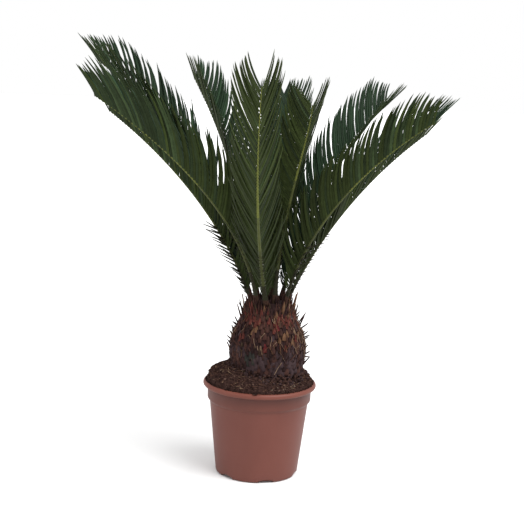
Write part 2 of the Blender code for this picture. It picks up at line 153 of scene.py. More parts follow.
# Fronds: name, bearing of the foot, swing towards the tip, lean from upright at the foot and at
# the tip, how late the lean sets in, turn of the blade, length, longest leaflets, distance of the
# foot from the trunk's axis, with all angles in degrees
FRONDS = (
    ("frond_front", 260.3, 12.8, 44.8, 38.9, 1.24, 8.5, 0.606, 0.128, 0.036),
    ("frond_front_right_inner", 300.2, -32.2, 0.9, 71.9, 1.04, 12.4, 0.551, 0.109, 0.022),
    ("frond_right_front", 331.3, -17.2, 4.5, 61.0, 0.60, -3.4, 0.528, 0.128, 0.038),
    ("frond_left_front", 227.5, -66.9, 10.5, 60.3, 0.66, 11.9, 0.560, 0.149, 0.037),
    ("frond_left", 189.3, -49.2, 18.0, 65.0, 0.94, 19.2, 0.528, 0.156, 0.038),
    ("frond_left_back", 159.2, -2.4, 19.0, 57.1, 0.98, -0.5, 0.630, 0.136, 0.037),
    ("frond_back_left", 130.6, -0.6, 13.7, 44.2, 1.05, 13.5, 0.524, 0.117, 0.036),
    ("frond_right_back", 49.2, 2.7, 18.5, 64.0, 0.98, 6.0, 0.565, 0.127, 0.036),
    ("frond_back_inner", 69.4, 25.2, 2.0, 59.9, 0.95, 3.0, 0.503, 0.130, 0.018),
    ("frond_back", 93.4, -9.4, 19.9, 54.0, 1.06, -3.5, 0.520, 0.120, 0.036),
    ("frond_right", 12.0, 23.0, 23.0, 61.0, 1.00, 0.0, 0.485, 0.112, 0.036),
)
# Width and depth of a stalk at its foot and at its tip
RIB_WIDTH = (0.0108, 0.0020)
RIB_DEPTH = (0.0086, 0.0018)
RIB_TAPER = 0.6
RIB_SIDES = 10
RIB_ROWS = 64
RIB_SUNK = 0.014
TURN_SHARE = 0.3
# Tones of a stalk: distance from its foot that they reach to, material below and above; material 4, from
# 0.075 to 0.185, is darkened as painted shade low in the crown
STALK_TONES = ((0.024, 0, 0), (0.075, 1, 1), (0.185, 4, 4), (0.29, 5, 3), (math.inf, 2, 3))
# Thorns of a stalk: growth, distance between two, distance of the last from the foot, radius
USUAL_THORNS = (1.0, 0.0095, 0.175, 0.0010)
THORNS = {
    "frond_left": (2.9, 0.0100, 0.172, 0.0020),
    "frond_right_front": (2.4, 0.0130, 0.135, 0.0020),
}
FIRST_THORN = 0.024

# Leaflets, with the angles in degrees
PAIR_PITCH = 0.0074
PAIR_CROWDING = 1.18
BARE_STEM = 0.032
FULL_FROM = 0.105
TIP_SHARE = 0.55
FALL_FROM = 0.82
THORN_SHARE = 0.18
FORWARD = 40
FORWARD_AT_TIP = 37
RAISED = 49
CURL = 14
# Spread of a leaflet's forward angle, raise and curl, and how much looser it is near the foot
LEAFLET_SPREAD = (1.0, 1.8, 1.6)
FOOT_LOOSENESS = 1.7
LEAFLET_WIDTH = 0.0057
LEAFLET_THICKNESS = 0.0006
# Rows of a leaflet's points: share of its length, share of its width
LEAFLET_ROWS = ((0.0, 0.9), (0.08, 1.0), (0.3, 1.0), (0.55, 0.94), (0.76, 0.74), (0.91, 0.42))
# Sides of a leaflet between two rows: first point, second point, upper face 0 or lower 1
LEAFLET_SIDES = ((0, 1, 0), (1, 2, 0), (2, 5, 1), (5, 4, 1), (4, 3, 1), (3, 0, 1))
# Least distance from the leaflets of another frond, and the shares of its length that are tried
CLEARANCE = 0.0045
TRIES = (1.0, 0.85, 0.7, 0.55, 0.4)
SHORTEST_TESTED = 0.02
# Shades dealt out to leaflets, the darkest near the foot as painted shade inside the crown: distance from
# the foot that they reach to, the shades
LEAFLET_SHADES_PAINTED_DARK_AT_FOOT = ((0.20, (3, 3, 0)), (0.30, (0, 0, 1)), (math.inf, (0, 0, 1, 1, 2)))
# How many of a frond's leaflets turn bluer towards its tip
USUAL_COOLNESS = 0.15
COOLNESS = {
    "frond_left": 0.8,
    "frond_left_front": 0.8,
    "frond_left_back": 0.8,
    "frond_right_front": 0.6,
}
LEAF_UPPER = (0.012, 0.025, 0.012)
# Kinds of leaf: colour of the lower face, factor of the lightest shade
LEAF_KINDS = {
    "warm": ((0.027, 0.038, 0.0105), 1.30),
    "cool": ((0.021, 0.032, 0.0130), 1.70),
}
SHADE_COUNT = 4

UP = Vector((0, 0, 1))


def smooth_step(value):
    value = min(max(value, 0.0), 1.0)
    return value * value * (3 - 2 * value)


def polar(radius, bearing, height=0.0):
    """A point by its distance from the pot's axis, its bearing in radians and its height."""
    return Vector((radius * math.cos(bearing), radius * math.sin(bearing), height))


def trunk_point(radius, bearing, height=0.0):
    """The same from the trunk's axis."""
    return Vector((TRUNK_X, 0, 0)) + polar(radius, bearing, height)


def directions(bearing):
    """The level ways outward and round the axis, at a bearing in radians."""
    outward = polar(1, bearing)
    return outward, UP.cross(outward)


def ring_bearings(sides):
    return [math.tau * i / sides for i in range(sides)]


def turned(first, second, angle):
    """The first way turned towards the second by an angle in radians."""
    return first * math.cos(angle) + second * math.sin(angle)


def unevenness(coarse, fine):
    """Small bumps and hollows, from a noise pattern read at two places."""
    return noise.noise(coarse) * 0.0022 + noise.noise(fine) * 0.0013


# Materials

class Look:
    """A material whose nodes are filled with values and sockets as they are made."""

    def __init__(self, name, roughness, specular):
        self.material = bpy.data.materials.new(name)
        self.material.use_nodes = True
        self.nodes = self.material.node_tree.nodes
        self.shade("Roughness", roughness)
        self.shade("Specular IOR Level", specular)

    def fill(self, target, value):
        if isinstance(value, bpy.types.NodeSocket):
            self.material.node_tree.links.new(value, target)
        else:
            target.default_value = value

    def shade(self, name, value):
        self.fill(self.nodes["Principled BSDF"].inputs[name], value)

    def add(self, kind, output, **inputs):
        """Adds a node, fills its inputs and gives back one of its outputs."""
        node = self.nodes.new("ShaderNode" + kind)
        for name, value in inputs.items():
            self.fill(node.inputs[name.replace("_", " ")], value)
        return node.outputs[output]

    def noise(self, scale, detail, stretch=(1, 1, 1)):
        """A noise pattern in the object's own coordinates, stretched along its axes."""
        place = self.add("Mapping", "Vector", Vector=self.add("TexCoord", "Object"), Scale=stretch)
        return self.add("TexNoise", "Fac", Vector=place, Scale=scale, Detail=detail, Roughness=0.55)

    def ramp(self, source, *stops):
        colour = self.add("ValToRGB", "Color", Fac=source)
        elements = colour.node.color_ramp.elements
        while len(elements) < len(stops):
            elements.new(0.5)
        for element, (place, tone) in zip(elements, stops):
            element.position = place
            element.color = (*tone, 1)
        return colour

    def bump(self, source, distance, strength=1.0):
        normal = self.add("Bump", "Normal", Height=source, Distance=distance, Strength=strength)
        self.shade("Normal", normal)


def grainy(name, dark, light, scale, roughness, bump, stretch=(1, 1, 1), detail=5.0, specular=0.1):
    """Two tones dealt by a noise pattern, with a bump from a finer one."""
    look = Look(name, roughness, specular)
    look.shade("Base Color", look.ramp(look.noise(scale, detail, stretch), (0.32, dark), (0.68, light)))
    look.bump(look.noise(scale * 3, detail, stretch), bump)
    return look.material


def scaled(colour, factor):
    return tuple(channel * factor for channel in colour)


def leaf_material(name, colour, roughness=0.50, specular=0.08):
    """A leaf's plain base colour, faintly mottled."""
    look = Look(name, roughness, specular)
    dark, light = scaled(colour, 0.86), scaled(colour, 1.14)
    look.shade("Base Color", look.ramp(look.noise(90, 2.0), (0.3, dark), (0.7, light)))
    return look.material


def plastic_material():
    """Terracotta-coloured plastic, greyer and darker under the lip from a painted shadow, lighter on the
    lip from a painted highlight, with faint scuffs in its gloss.
    """
    look = Look("pot_plastic", 0.5, 0.3)
    tone = look.ramp(look.noise(9, 3.0, (1, 1, 0.6)), (0.3, (0.135, 0.043, 0.032)),
                     (0.7, (0.160, 0.053, 0.040)))
    height = look.add("SeparateXYZ", "Z", Vector=look.add("TexCoord", "Object"))
    # Painted light by height: the lip's shadow over the collar and a highlight along the lip
    painted_light = look.ramp(look.add("MapRange", "Result", Value=height, From_Max=POT_HEIGHT), *PLASTIC_PAINTED_LIGHT_BANDS)
    tone_with_painted_light = look.nodes.new("ShaderNodeMix")
    tone_with_painted_light.data_type = "RGBA"
    tone_with_painted_light.blend_type = "MULTIPLY"
    tone_with_painted_light.inputs["Factor"].default_value = 1.0
    # Inputs 6 and 7 and output 2 are the colour sockets
    look.fill(tone_with_painted_light.inputs[6], tone)
    look.fill(tone_with_painted_light.inputs[7], painted_light)
    look.shade("Base Color", tone_with_painted_light.outputs[2])
    look.bump(look.noise(420, 3.0), 0.0001, 0.6)
    scuffs = look.noise(40, 6.0, (1, 1, 0.3))
    look.shade("Roughness", look.add("MapRange", "Result", Value=scuffs, To_Min=0.42, To_Max=0.60))
    return look.material


# Meshes

def add_object(name, data):
    item = bpy.data.objects.new(name, data)
    bpy.context.scene.collection.objects.link(item)
    return item


def place_mesh(name, mesh, materials, node, smooth=True):
    """A piece that rides on the root and replaces a node."""
    for one in materials:
        mesh.materials.append(one)
    mesh.polygons.foreach_set("use_smooth", [smooth] * len(mesh.polygons))
    mesh.update()
    item = add_object(name, mesh)
    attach(item, "root")
    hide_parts(node)
    return item


class Pile:
    """Gathers many small shapes into the lists of one mesh."""

    def __init__(self):
        self.points = []
        self.faces = []
        self.tones = []

    def add(self, points, faces, tone=0):
        start = len(self.points)
        self.points += [tuple(point) for point in points]
        self.faces += [tuple(start + i for i in face) for face in faces]
        self.tones += list(tone) if isinstance(tone, (list, tuple)) else [tone] * len(faces)

    def place(self, name, materials, node, slot, smooth=True):
        mesh = bpy.data.meshes.new(name)
        mesh.from_pydata(self.points, [], self.faces)
        mesh.polygons.foreach_set("material_index", self.tones)
        return place_mesh(name, mesh, materials, node, smooth)


def place_rings(name, rings, foot, top, material, node):
    """A closed body through rings of points, with a fan of faces to a point at each end."""
    body = bmesh.new()
    rings = [[body.verts.new(point) for point in ring] for ring in rings]
    for lower, upper in zip(rings, rings[1:]):
        for i in range(len(lower)):
            j = (i + 1) % len(lower)
            body.faces.new((lower[i], lower[j], upper[j], upper[i]))
    for ring, centre in ((rings[0], foot), (rings[-1], top)):
        hub = body.verts.new(centre)
        for i, vertex in enumerate(ring):
            body.faces.new((vertex, ring[(i + 1) % len(ring)], hub))
    bmesh.ops.recalc_face_normals(body, faces=body.faces)
    mesh = bpy.data.meshes.new(name)
    body.to_mesh(mesh)
    body.free()
    return place_mesh(name, mesh, [material], node)


def tube_faces(sides, rows, closed=True):
    """Faces of a tube whose rings of points follow one another in a list."""
    faces = []
    for row in range(rows):
        low, high = row * sides, (row + 1) * sides
        for k in range(sides):
            m = (k + 1) % sides
            faces.append((low + k, low + m, high + m, high + k))
    if closed:
        faces += [tuple(range(sides - 1, -1, -1)), tuple(rows * sides + k for k in range(sides))]
    return faces


# Pot

def pot_inner_radius(height):
    if height >= COLLAR_FOOT:
        flare = (height - POT_HEIGHT + LIP_FLARE_HEIGHT) / (LIP_FLARE_HEIGHT - LIP_EDGE)
        return COLLAR_RADIUS - POT_WALL + LIP_FLARE * min(max(flare, 0.0), 1.0)
    share = height / (COLLAR_FOOT - STEP_DEPTH)
    return FOOT_RADIUS + (WALL_TOP_RADIUS - FOOT_RADIUS) * min(share, 1.0) - POT_WALL


def notch_rise(bearing):
    """Height of the foot's edge above the ground: an arch at each notch, level between."""
    step = 360 / NOTCH_COUNT
    away = (math.degrees(bearing) - NOTCH_BEARING + step / 2) % step - step / 2
    reach = math.radians(away) * FOOT_RADIUS / (NOTCH_WIDTH / 2)
    return NOTCH_HEIGHT * math.sqrt(max(1 - reach * reach, 0.0))


def pot_rings():
    """Radius, height and notch share of every ring, up the outside and down the inside."""
    rings = [(FOOT_RADIUS - NOTCH_DEPTH, 0.0, 0.0), (FOOT_RADIUS - NOTCH_DEPTH + 0.001, 0.0002, 1.0)]
    for angle in (-90, -60, -30, 0):
        turn = math.radians(angle)
        rings.append((FOOT_RADIUS - FOOT_ROUND * (1 - math.cos(turn)),
                      FOOT_ROUND * (1 + math.sin(turn)), 1.0))
    step_foot = COLLAR_FOOT - STEP_DEPTH
    slope = (WALL_TOP_RADIUS - FOOT_RADIUS) / (step_foot - FOOT_ROUND)
    for height in (0.012, 0.03, 0.08, 0.13, step_foot - 0.003, step_foot - 0.0008):
        rings.append((FOOT_RADIUS + slope * (height - FOOT_ROUND), height, 0.0))
    # The rounded step under the collar, the collar and the corner under the lip
    lip_foot = POT_HEIGHT - LIP_DEPTH
    for radius, height in ((WALL_TOP_RADIUS + 0.0008, step_foot + 0.0004),
                           (COLLAR_RADIUS - 0.0018, COLLAR_FOOT - 0.0024),
                           (COLLAR_RADIUS - 0.0007, COLLAR_FOOT - 0.0006),
                           (COLLAR_RADIUS - 0.0005, COLLAR_FOOT + 0.002),
                           (COLLAR_RADIUS - 0.0002, lip_foot - 0.002),
                           (COLLAR_RADIUS + 0.0004, lip_foot - 0.0002)):
        rings.append((radius, height, 0.0))
    half = LIP_DEPTH / 2
    for i in range(13):
        turn = math.radians(-86 + 176 * i / 12)
        rings.append((LIP_RADIUS - half * (1 - math.cos(turn)),
                      lip_foot + half * (1 + math.sin(turn)), 0.0))
    top_inside = pot_inner_radius(POT_HEIGHT)
    rings.append((top_inside + 0.0006, POT_HEIGHT - 0.0003, 0.0))
    rings.append((top_inside, POT_HEIGHT - LIP_EDGE, 0.0))
    for height in (POT_HEIGHT - LIP_FLARE_HEIGHT, COLLAR_FOOT, step_foot, 0.08, POT_FLOOR):
        rings.append((pot_inner_radius(height), height, 0.0))
    return rings


def build_pot():
    rings = []
    for radius, height, notched in pot_rings():
        rings.append([polar(radius, bearing, max(height, notched * notch_rise(bearing) + height * 0.6))
                      for bearing in ring_bearings(POT_SIDES)])
    plastic = plastic_material()
    pot = place_rings("pot_shell", rings, (0, 0, 0), (0, 0, POT_FLOOR), plastic, "pot")
    pot.data.set_sharp_from_angle(angle=math.radians(42))


# Soil

def soil_height(radius, bearing):
    inner, outer = TRUNK_PROFILE[1][1], pot_inner_radius(POT_HEIGHT) - SOIL_BANK
    share = min(max((outer - radius) / (outer - inner), 0.0), 1.0)
    towards_heap = math.cos(bearing - math.radians(SOIL_HEAP_BEARING))
    edge = SOIL_EDGE + SOIL_TILT * max(towards_heap, 0.0)
    top = SOIL_TOP + SOIL_TILT * towards_heap
    return edge + (top - edge) * share ** (SOIL_ROUNDNESS - SOIL_HEAP_ROUNDNESS * towards_heap)


def soil_surface(share, bearing):
    """A point of the soil, from the pot's rim at share 0 to inside the trunk at share 1."""
    rim = pot_inner_radius(POT_HEIGHT) - SOIL_GAP
    bank = rim - SOIL_BANK
    if share < BANK_SHARE:
        part = share / BANK_SHARE
        foot = POT_HEIGHT - LIP_EDGE
        height = foot + (soil_height(bank, bearing) - foot) * math.sin(part * math.pi / 2)
        return polar(rim + (bank - rim) * part, bearing, height)
    part = (share - BANK_SHARE) / (1 - BANK_SHARE)
    inner = TRUNK_PROFILE[1][1] - SOIL_UNDER_TRUNK
    place = polar(bank, bearing).lerp(trunk_point(inner, bearing), part)
    place.z = soil_height(bank + (inner - bank) * part, bearing)
    return place


def soil_lump(place):
    return unevenness(place * 70, place * 260)


def soil_material(name, dark, light, scale, bump):
    return grainy(name, dark, light, scale, 0.95, bump, specular=0.05)


def build_soil():
    bearings = ring_bearings(SOIL_SIDES)
    rings = []
    for height in (SOIL_SKIRT, POT_HEIGHT - LIP_FLARE_HEIGHT):
        radius = pot_inner_radius(height) - SKIRT_GAP
        rings.append([polar(radius, bearing, height) for bearing in bearings])
    for step in range(SOIL_STEPS + 1):
        share = step / SOIL_STEPS
        ring = [soil_surface(share, bearing) for bearing in bearings]
        for place in ring:
            place.z += soil_lump(place) * smooth_step(share / 0.15)
        rings.append(ring)
    ground = soil_material("soil_ground", (0.012, 0.006, 0.005), (0.042, 0.022, 0.018), 160, 0.0012)
    place_rings("soil_ground", rings, (0, 0, SOIL_SKIRT), (TRUNK_X, 0, SOIL_TOP - 0.01), ground,
                "soil")


def lump_shape(chooser, size, flatness=1.0):
    """A rough little clod of eight corners pushed about, with its faces."""
    corners = []
    for x in (-1, 1):
        for y in (-1, 1):
            for z in (-1, 1):
                reach = size * chooser.uniform(0.55, 1.0) * 0.62
                corners.append(Vector((x * reach, y * reach, z * reach * flatness)))
    faces = ((0, 1, 3, 2), (4, 6, 7, 5), (0, 4, 5, 1), (2, 3, 7, 6), (0, 2, 6, 4), (1, 5, 7, 3))
    spin = Matrix.Rotation(chooser.uniform(0, 6.28), 3, "Z")
    spin = spin @ Matrix.Rotation(chooser.uniform(-0.7, 0.7), 3, "X")
    return [spin @ corner for corner in corners], faces


def add_clod(pile, chooser, place, size, flatness, tones):
    points, faces = lump_shape(chooser, size, flatness)
    pile.add([point + place for point in points], faces, chooser.choice(tones))


def strew_crumbs(crumbs, chooser):
    """Small clods all over the soil."""
    for _ in range(CRUMB_COUNT):
        share = chooser.uniform(0.02, 0.93)
        bearing = chooser.uniform(0, math.tau)
        place = soil_surface(share, bearing)
        place.z += soil_lump(place)
        size = chooser.choice((0.0012, 0.0016, 0.002, 0.0026, 0.0034))
        add_clod(crumbs, chooser, place, size, chooser.uniform(0.5, 1.0), (0, 0, 0, 0, 1, 1, 1, 1, 1, 2))


def spill_crumbs(crumbs, chooser):
    """Soil spilt on the inner edge of the lip, with a bit that hangs over it at the front."""
    for i in range(SPILT_COUNT + HANGING_COUNT):
        if i < SPILT_COUNT:
            bearing = chooser.uniform(0, math.tau)
            reach = chooser.uniform(-0.0030, 0.0022)
        else:
            bearing = math.radians(chooser.gauss(HANGING_BEARING, 1.2))
            reach = chooser.uniform(0.0, 0.0070)
        place = polar(pot_inner_radius(POT_HEIGHT) + reach, bearing, POT_HEIGHT + 0.0004)
        size = chooser.choice((0.0012, 0.0017, 0.0024))
        add_clod(crumbs, chooser, place, size, 0.7, (0, 0, 1))


def heap_clods(crumbs, chooser):
    """Larger clods against the trunk's foot."""
    for _ in range(HEAP_COUNT):
        bearing = chooser.uniform(0, math.tau)
        row = chooser.random()
        radius = TRUNK_PROFILE[1][1] + 0.001 + HEAP_WIDTH * row ** 1.3
        height = soil_height(radius, bearing) + HEAP_RISE * (1 - row) ** 1.5
        size = chooser.uniform(0.0025, 0.0055)
        add_clod(crumbs, chooser, trunk_point(radius, bearing, height), size, chooser.uniform(0.6, 1.0),
                 (0, 1, 1, 3, 3))


def strew_litter(litter, chooser):
    """Thin chips of bark and straw."""
    for _ in range(LITTER_COUNT):
        share = chooser.uniform(0.04, 0.9)
        bearing = chooser.uniform(0, math.tau)
        place = soil_surface(share, bearing) + Vector((0, 0, 0.0016))
        length = chooser.uniform(0.004, 0.011)
        width = chooser.uniform(0.0007, 0.0018)
        add_sliver(litter, place, chooser, length, width, chooser.choice((0, 0, 0, 1)))


def strew_grains(grains, chooser):
    """Pale grains, some of them at the front right and the rest anywhere."""
    for i in range(GRAIN_COUNT):
        near = i < GRAINS_IN_FRONT
        bearing = math.radians(chooser.uniform(286, 318) if near else chooser.uniform(0, 360))
        place = soil_surface(chooser.uniform(0.06, 0.35 if near else 0.8), bearing)
        points, faces = lump_shape(chooser, chooser.uniform(0.0014, 0.0027), 0.8)
        grains.add([point + place + Vector((0, 0, 0.0012)) for point in points], faces)


def build_crumbs():
    """Clods, chips and a few pale grains strewn over the soil, and a little on the lip."""
    chooser = random.Random(11)
    crumbs, grains, litter = Pile(), Pile(), Pile()
    strew_crumbs(crumbs, chooser)
    spill_crumbs(crumbs, chooser)
    heap_clods(crumbs, chooser)
    strew_litter(litter, chooser)
    strew_grains(grains, chooser)
    tones = [soil_material(name, *look) for name, look in SOIL_TONES.items()]
    crumbs.place("soil_crumbs", tones, "soil", "soil", smooth=False)
    chips = [
        grainy("litter_brown", (0.055, 0.026, 0.016), (0.10, 0.050, 0.032), 200, 0.8, 0.0002),
        grainy("litter_straw", (0.12, 0.072, 0.042), (0.19, 0.125, 0.080), 200, 0.75, 0.0002),
    ]
    litter.place("soil_litter", chips, "soil", "soil", smooth=False)
    pale = grainy("soil_grain", (0.15, 0.115, 0.080), (0.27, 0.225, 0.170), 300, 0.9, 0.0002)
    grains.place("soil_grains", [pale], "soil", "soil", smooth=False)


def add_sliver(pile, place, chooser, length, width, tone):
    """A thin chip lying nearly level."""
    along = polar(1, chooser.uniform(0, math.tau), chooser.uniform(-0.25, 0.35)).normalized()
    across = along.cross(UP).normalized()
    up = across.cross(along)
    points = []
    for end in (-1, 1):
        for side, rise in ((-1, 0), (0, 1), (1, 0), (0, -1)):
            corner = place + along * end * length / 2 + across * side * width / 2
            points.append(corner + up * rise * width / 3)
    faces = ((0, 1, 5, 4), (1, 2, 6, 5), (2, 3, 7, 6), (3, 0, 4, 7), (3, 2, 1, 0), (4, 5, 6, 7))
    pile.add(points, faces, tone)


# Trunk

def trunk_radius(height):
    heights, radii = zip(*TRUNK_PROFILE)
    return float(np.interp(height, heights, radii))


def trunk_frame(height, bearing):
    """Point on the trunk's surface, its outward normal, the way up it and the way round it."""
    outward, around = directions(bearing)
    slope = (trunk_radius(height + 0.004) - trunk_radius(height - 0.004)) / 0.008
    up = (UP + outward * slope).normalized()
    point = trunk_point(trunk_radius(height), bearing, height)
    return point, around.cross(up).normalized(), up, around


BARK_TONES = {
    "dark": ((0.010, 0.005, 0.005), (0.030, 0.014, 0.013)),
    "brown": ((0.026, 0.011, 0.009), (0.060, 0.027, 0.021)),
    "red": ((0.045, 0.011, 0.009), (0.100, 0.029, 0.022)),
    "tan": ((0.055, 0.025, 0.013), (0.125, 0.066, 0.036)),
    "grey": ((0.022, 0.013, 0.014), (0.050, 0.031, 0.033)),
    "straw": ((0.11, 0.065, 0.040), (0.22, 0.145, 0.095)),
    "crimson": ((0.055, 0.007, 0.009), (0.105, 0.018, 0.018)),
    "moss": ((0.014, 0.014, 0.012), (0.030, 0.028, 0.024)),
    "olive": ((0.024, 0.015, 0.009), (0.066, 0.042, 0.026)),
}
TONE_NUMBERS = {name: number for number, name in enumerate(BARK_TONES)}

# Patches of one tone: bearing, height, radius of the patch, tone
BARK_PATCHES = (
    (236, 0.330, 0.008, "red"), (254, 0.346, 0.006, "red"), (300, 0.337, 0.009, "red"),
    (320, 0.331, 0.007, "red"), (256, 0.331, 0.008, "red"), (272, 0.327, 0.007, "crimson"),
    (284, 0.322, 0.006, "crimson"), (264, 0.279, 0.005, "crimson"), (283, 0.260, 0.006, "crimson"),
    (291, 0.284, 0.005, "crimson"), (300, 0.278, 0.005, "red"), (228, 0.300, 0.006, "red"),
    (222, 0.290, 0.008, "red"), (248, 0.320, 0.005, "tan"), (238, 0.305, 0.006, "tan"),
    (283, 0.324, 0.004, "straw"), (299, 0.299, 0.007, "tan"), (319, 0.292, 0.008, "tan"),
    (326, 0.278, 0.007, "tan"), (303, 0.310, 0.005, "tan"), (250, 0.262, 0.011, "moss"),
    (238, 0.252, 0.009, "moss"), (262, 0.250, 0.012, "grey"), (288, 0.240, 0.018, "grey"),
    (312, 0.248, 0.016, "grey"), (150, 0.325, 0.009, "red"), (95, 0.332, 0.009, "red"),
    (40, 0.328, 0.009, "red"), (75, 0.296, 0.008, "tan"), (130, 0.300, 0.007, "tan"),
    (20, 0.300, 0.007, "tan"), (110, 0.268, 0.006, "crimson"), (55, 0.275, 0.005, "crimson"),
    (165, 0.262, 0.014, "grey"), (60, 0.250, 0.016, "grey"), (110, 0.245, 0.016, "grey"),
)


def bark_materials():
    return [grainy("bark_" + name, dark, light, 150, 0.88, 0.0009, (1, 1, 0.35), 6.0)
            for name, (dark, light) in BARK_TONES.items()]


def tone_at(height, bearing, chooser):
    """Which bark tone a scale takes: a patch's own, else red-brown at the shoulder, greyer low down, and
    tan and straw more often on the right as painted light where the key light falls.
    """
    for middle, patch_height, reach, tone in BARK_PATCHES:
        aside = math.remainder(bearing - math.radians(middle), math.tau) * trunk_radius(height)
        if math.hypot(aside, height - patch_height) < reach and chooser.random() < 0.6:
            return TONE_NUMBERS[tone]
    # Tan and straw are painted light on the right, the side that the key light falls on
    right = math.cos(bearing - math.radians(330))
    level = (height - TRUNK_FOOT) / (TRUNK_TOP - TRUNK_FOOT)
    shoulder = smooth_step((level - 0.5) / 0.2) * smooth_step((0.95 - level) / 0.1)
    weights = {
        "dark": 2.4,
        "brown": 2.6,
        "red": 1.9 * shoulder + 0.15 * smooth_step(level / 0.2),
        "tan": (1.8 * max(right, 0.0) ** 2 + 0.15) * smooth_step((level - 0.25) / 0.2),
        "grey": 3.4 * smooth_step((0.5 - level) / 0.4) + 0.3,
        "olive": 1.8 * smooth_step((level - 0.75) / 0.2) + 0.2,
        "straw": (0.25 * max(right, 0.0) ** 3 + 0.02) * smooth_step((level - 0.25) / 0.2),
    }
    return TONE_NUMBERS[chooser.choices(list(weights), list(weights.values()))[0]]


def build_trunk_core(materials):
    """The trunk's uneven surface under its scales."""
    low, high = TRUNK_PROFILE[0][0], TRUNK_PROFILE[-1][0]
    rings = []
    for step in range(TRUNK_STEPS):
        height = low + (high - low) * step / TRUNK_STEPS
        base = trunk_radius(height)
        ring = []
        for bearing in ring_bearings(TRUNK_SIDES):
            x, y, _ = directions(bearing)[0]
            rough = unevenness(Vector((x * 7, y * 7, height * 30)), Vector((x * 22, y * 22, height * 60)))
            radius = max(base - 0.0015 + rough * min(base / 0.03, 1.0), 0.0005)
            ring.append(trunk_point(radius, bearing, height))
        rings.append(ring)
    place_rings("trunk_core", rings, (TRUNK_X, 0, low), (TRUNK_X, 0, high), materials[0], "trunk")


# Section of a scale: share of its half width, share of its thickness
SCALE_SECTION = ((-1, 0.0), (-0.5, 0.75), (0, 1.0), (0.5, 0.75), (1, 0.0), (0, -0.25))


def add_scale(pile, foot, normal, up, around, length, width, lift, thickness, tone, tip_width, bend=0.0):
    """A shield-shaped old leaf base: wide at the foot, drawn to a tip that stands off the trunk."""
    rows = 5
    points = []
    for i in range(rows + 1):
        share = i / rows
        half = width / 2 * max(tip_width, math.cos(share ** 1.5 * math.pi / 2) ** 0.7)
        rise = lift * share ** 1.6 + bend * share * share
        middle = foot + up * length * share + normal * (rise - thickness * 0.5)
        thick = thickness * (1 - 0.55 * share)
        for a, n in SCALE_SECTION:
            points.append(middle + around * a * half + normal * n * thick)
    sides = len(SCALE_SECTION)
    pile.add(points, tube_faces(sides, rows), tone)


def build_trunk_scales(materials):
    """Old leaf bases in their spirals over the whole trunk, the largest low down."""
    chooser = random.Random(5)
    pile = Pile()
    for i in range(SCALE_COUNT):
        share = (i + 0.5) / SCALE_COUNT
        height = SCALES_FROM + (SCALES_TO - SCALES_FROM) * share
        bearing = math.radians(i * GOLDEN_TURN)
        foot, normal, up, around = trunk_frame(height, bearing)
        size = 1.40 - 0.55 * smooth_step(share / 0.7)
        length = 0.0165 * size * chooser.uniform(0.8, 1.25)
        width = 0.0125 * size * chooser.uniform(0.8, 1.15)
        lift = chooser.uniform(0.0005, 0.0032)
        tilt = chooser.uniform(-0.22, 0.22)
        add_scale(pile, foot - up * length * 0.3, normal, turned(up, around, tilt).normalized(),
                  turned(around, -up, tilt).normalized(), length, width, lift, 0.0036 * size,
                  tone_at(height, bearing, chooser), chooser.uniform(0.10, 0.45))
    pile.place("trunk_scales", materials, "trunk", "bark")


# Rings of pointed scales: radius, height of the foot, length, width, number, outward lean
NECK_RINGS = (
    (0.0440, 0.342, 0.031, 0.0060, 40, 0.06),
    (0.0475, 0.338, 0.031, 0.0070, 42, 0.10),
    (0.0500, 0.330, 0.030, 0.0075, 42, 0.10),
    (0.0540, 0.320, 0.028, 0.0085, 40, 0.02),
    (0.0590, 0.309, 0.026, 0.0095, 38, -0.10),
)
# Single long scales at the neck: bearing, height of the foot, length, width
LONG_SCALES = (
    (350, 0.336, 0.054, 0.015),
    (182, 0.338, 0.042, 0.009),
    (12, 0.338, 0.044, 0.009),
    (304, 0.340, 0.036, 0.010),
    (120, 0.338, 0.044, 0.012),
    (60, 0.338, 0.040, 0.010),
)
LONG_SCALE_RADIUS = 0.0495
LONG_SCALE_LEAN = 0.16
SHEATH_SCALES = 9


def add_standing_scale(pile, bearing, radius, height, lean, *shape):
    """A scale whose foot is on the trunk's shoulder and that leans outward by an angle in radians."""
    outward, around = directions(bearing)
    up = turned(UP, outward, lean)
    add_scale(pile, trunk_point(radius, bearing, height), around.cross(up), up, around, *shape)


def add_sheath(pile, rib, chooser):
    """A ragged sheath of narrow scales round a stem's foot."""
    point, tangent, upper, sideways = rib.frame(0.001)
    for i in range(SHEATH_SCALES):
        turn = math.tau * (i + chooser.uniform(-0.3, 0.3)) / SHEATH_SCALES
        outward = turned(sideways, upper, turn).normalized()
        along = (tangent + outward * chooser.uniform(0.0, 0.16)).normalized()
        add_scale(pile, point + outward * 0.0068 - tangent * 0.014, outward, along, along.cross(outward),
                  chooser.uniform(0.022, 0.038), chooser.uniform(0.004, 0.0075), 0.0008, 0.0024,
                  TONE_NUMBERS[chooser.choice(("dark", "brown", "dark", "olive"))],
                  0.05, chooser.uniform(-0.002, 0.001))


def build_neck(materials):
    """Long pointed scales standing round the stems in rings, the widest at the right."""
    chooser = random.Random(21)
    pile = Pile()
    for radius, height, length, width, count, flare in NECK_RINGS:
        for i in range(count):
            bearing = math.tau * (i + chooser.uniform(-0.25, 0.25)) / count + height * 40
            lean = flare + chooser.uniform(-0.05, 0.05)
            add_standing_scale(pile, bearing, radius, height, lean, length * chooser.uniform(0.7, 1.15),
                               width * chooser.uniform(0.6, 1.2), 0.001, 0.0034,
                               tone_at(height + 0.012, bearing, chooser),
                               0.06, chooser.uniform(-0.001, 0.0025))
    for bearing, height, length, width in LONG_SCALES:
        add_standing_scale(pile, math.radians(bearing), LONG_SCALE_RADIUS, height, LONG_SCALE_LEAN,
                           length, width, 0.001, 0.0035, TONE_NUMBERS["tan"], 0.05, 0.001)
    for row in FRONDS:
        add_sheath(pile, Rib(*row[1:]), chooser)
    pile.place("trunk_neck_scales", materials, "trunk", "bark")


